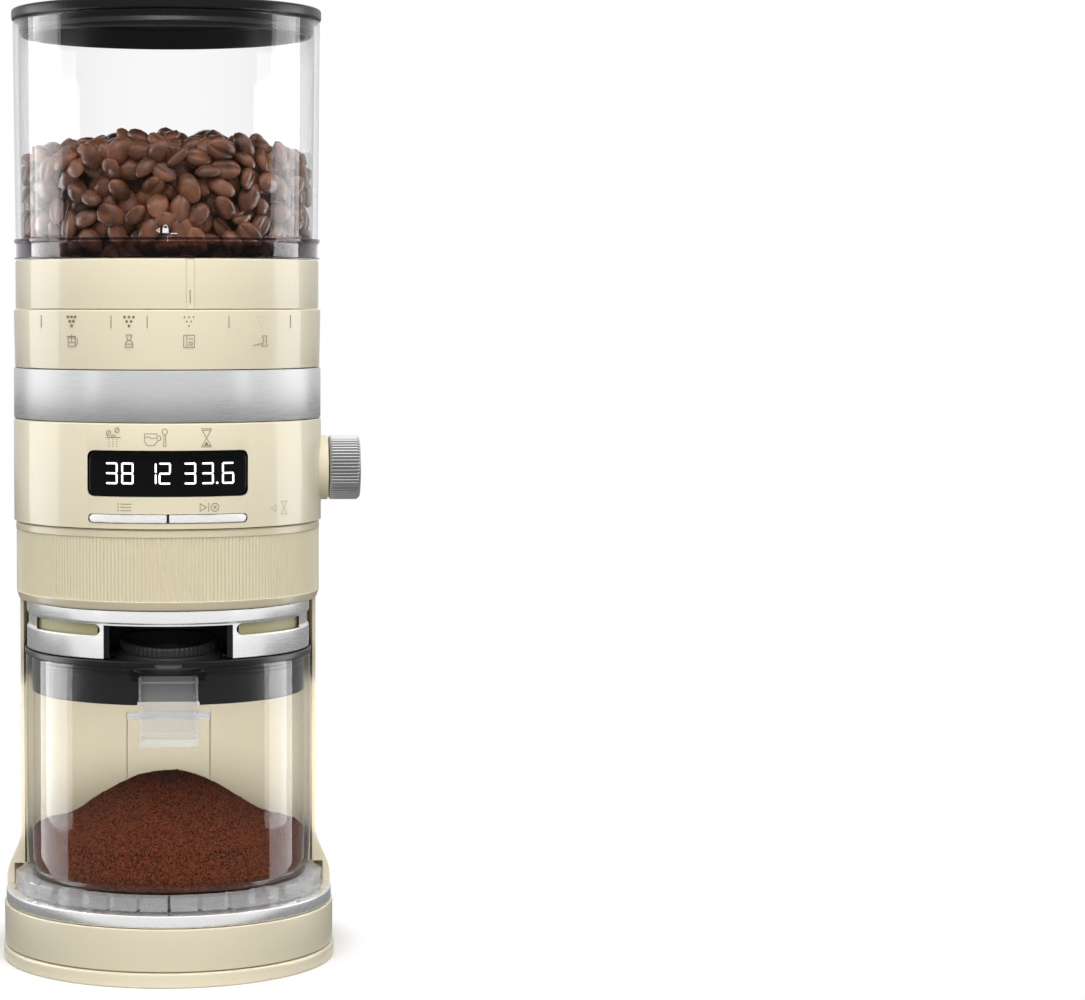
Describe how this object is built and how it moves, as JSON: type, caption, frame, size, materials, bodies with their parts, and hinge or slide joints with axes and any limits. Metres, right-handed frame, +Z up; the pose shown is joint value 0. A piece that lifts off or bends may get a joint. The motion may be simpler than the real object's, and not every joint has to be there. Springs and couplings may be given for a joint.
{
  "type": "burr coffee grinder",
  "caption": "Upright electric burr coffee grinder with a round clear bean hopper, a grind ring, a display with a side knob, and a clear jar for the ground coffee.",
  "frame": {"origin": "on the vertical axis of the burrs, hopper and jar, at the height of the table", "axes": "+Z up, -Y towards the front with the display and jar, +X towards the side knob"},
  "size_m": [0.1554, 0.1762, 0.409],
  "materials": {
    "cream_paint": "gloss",
    "brushed_band": "brushed round the body",
    "rim_metal": "satin",
    "black_plastic": "satin",
    "display_black": "gloss",
    "charcoal_lid": "satin",
    "clear_plastic": "clear, polished",
    "rubber": "matt",
    "board": "satin",
    "nylon": "satin",
    "burr_steel": "ground",
    "alloy": "as cast",
    "windings": "lacquered"
  },
  "bodies": {
    "frame": {"base_shell": "cream_paint", "bottom_plate": "cream_paint", "button_board": "board", "capacitor": "black_plastic", "collar_track": "black_plastic", "display_board": "board", "display_window": "display_black", "foot_1": "rubber", "foot_2": "rubber", "foot_3": "rubber", "foot_4": "rubber", "gear_plate_lower": "alloy", "gear_plate_upper": "alloy", "gearbox_screw_1": "burr_steel", "gearbox_screw_2": "burr_steel", "gearbox_screw_3": "burr_steel", "gearbox_screw_4": "burr_steel", "grinding_chamber": "alloy", "head_cover": "black_plastic", "housing": "cream_paint", "jar_plate": "rim_metal", "knob_encoder": "black_plastic", "lower_bearing": "burr_steel", "mains_gland": "rubber", "motor_can": "alloy", "motor_end_cap": "black_plastic", "neck": "rim_metal", "outlet_chute": "black_plastic", "power_board": "board", "relay": "black_plastic", "scale_ring": "cream_paint", "steel_band": "brushed_band", "upper_bearing": "burr_steel"},
    "interlock": {"interlock_ring": "black_plastic"},
    "hopper": {"hopper": "clear_plastic", "hopper_gate": "black_plastic"},
    "lid": {"hopper_lid": "charcoal_lid", "lid_seal": "rubber"},
    "grind": {"grind_ring": "cream_paint", "adjuster_hub": "black_plastic"},
    "carrier": {"burr_carrier": "black_plastic", "ring_burr": "burr_steel"},
    "collar": {"jog_collar": "cream_paint"},
    "knob": {"amount_knob": "brushed_band"},
    "program": {"program_button": "rim_metal"},
    "start": {"start_button": "rim_metal"},
    "jar": {"jar": "clear_plastic", "jar_lid": "black_plastic", "funnel_seal": "rubber", "drop_chute": "clear_plastic"},
    "burr": {"burr_shaft": "burr_steel", "burr_gear": "nylon", "cone_burr": "burr_steel", "sweeper": "nylon", "burr_nut": "burr_steel"},
    "idler": {"idler_axle": "burr_steel", "idler_gear": "nylon", "idler_pinion": "burr_steel"},
    "motor": {"motor_rotor": "windings", "motor_pinion": "burr_steel"}
  },
  "joints": [
    {"name": "interlock_turn", "type": "hinge", "parent": "frame", "child": "interlock", "pos_m": [0, 0, 0.284], "axis": [0, 0, 1], "range_deg": [-35, 0]},
    {"name": "hopper_lift", "type": "slide", "parent": "interlock", "child": "hopper", "axis": [0, 0, 1], "range_m": [0, 0.13]},
    {"name": "lid_lift", "type": "slide", "parent": "hopper", "child": "lid", "axis": [0, 0, 1], "range_m": [0, 0.08]},
    {"name": "grind_ring_turn", "type": "hinge", "parent": "frame", "child": "grind", "pos_m": [0, 0, 0.292], "axis": [0, 0, 1], "range_deg": [-65, 47]},
    {"name": "carrier_rise", "type": "slide", "parent": "frame", "child": "carrier", "axis": [0, 0, 1], "range_m": [-0.00075, 0.00055]},
    {"name": "jog_collar_turn", "type": "hinge", "parent": "frame", "child": "collar", "pos_m": [0, 0, 0.1735], "axis": [0, 0, 1], "range_deg": [-8, 8], "stiffness_Nm_per_rad": 0.3},
    {"name": "amount_knob_turn", "type": "hinge", "parent": "frame", "child": "knob", "pos_m": [0.0765, 0, 0.2126], "axis": [1, 0, 0], "continuous": true},
    {"name": "program_press", "type": "slide", "parent": "frame", "child": "program", "axis": [0, 1, 0], "range_m": [0, 0.0008], "stiffness_N_per_m": 400},
    {"name": "start_press", "type": "slide", "parent": "frame", "child": "start", "axis": [0, 1, 0], "range_m": [0, 0.0008], "stiffness_N_per_m": 400},
    {"name": "jar_slide", "type": "slide", "parent": "frame", "child": "jar", "axis": [0, -1, 0], "range_m": [0, 0.16]},
    {"name": "burr_spin", "type": "hinge", "parent": "frame", "child": "burr", "pos_m": [0, 0, 0.2], "axis": [0, 0, 1], "continuous": true},
    {"name": "idler_spin", "type": "hinge", "parent": "frame", "child": "idler", "pos_m": [0, 0.03, 0.17], "axis": [0, 0, 1], "continuous": true},
    {"name": "motor_spin", "type": "hinge", "parent": "frame", "child": "motor", "pos_m": [0, 0.06, 0.2], "axis": [0, 0, 1], "continuous": true}
  ],
  "couplings": [
    {"joint": "carrier_rise", "follows": "grind_ring_turn", "m_per_rad": 0.0006},
    {"joint": "idler_spin", "follows": "motor_spin", "ratio": -0.33333},
    {"joint": "burr_spin", "follows": "motor_spin", "ratio": 0.11111}
  ]
}
